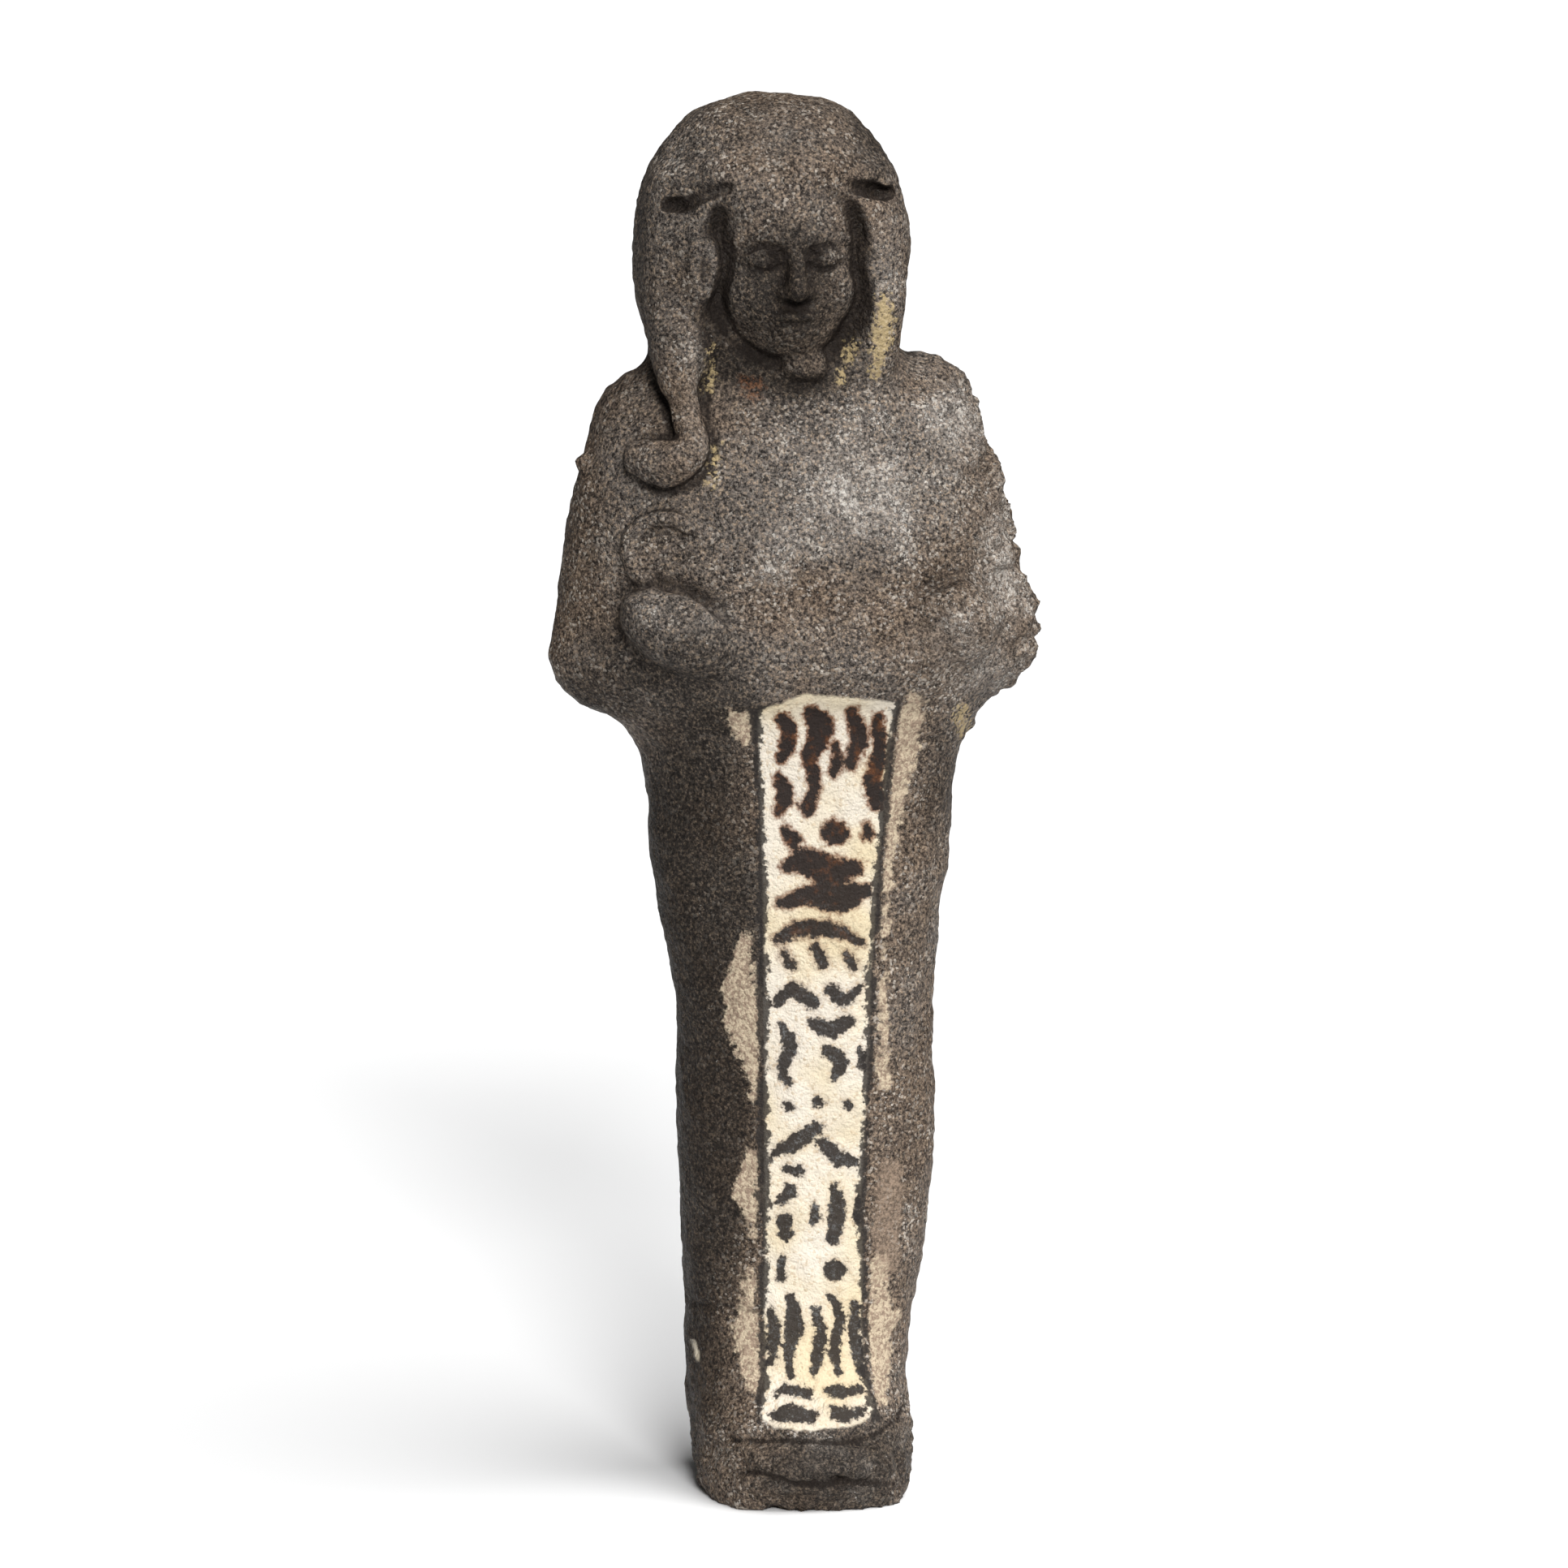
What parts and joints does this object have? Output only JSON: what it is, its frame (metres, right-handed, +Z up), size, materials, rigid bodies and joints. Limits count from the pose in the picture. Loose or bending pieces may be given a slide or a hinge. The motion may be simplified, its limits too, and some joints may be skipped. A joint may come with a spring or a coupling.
{
  "type": "ushabti figurine",
  "caption": "Mummiform faience statuette with crossed forearms, round wig, sidelock and short beard, standing on flat-bottomed feet.",
  "frame": {"origin": "middle of the flat underside of the feet, on the surface that the figurine stands on", "axes": "+Z up along the figure, -Y the way it faces, +X towards its left arm"},
  "size_m": [0.0503, 0.0326, 0.1499],
  "materials": {
    "weathered_faience": "weathered, grainy, matt"
  },
  "bodies": {
    "root": {"ushabti_figurine": "weathered_faience"}
  },
  "joints": []
}
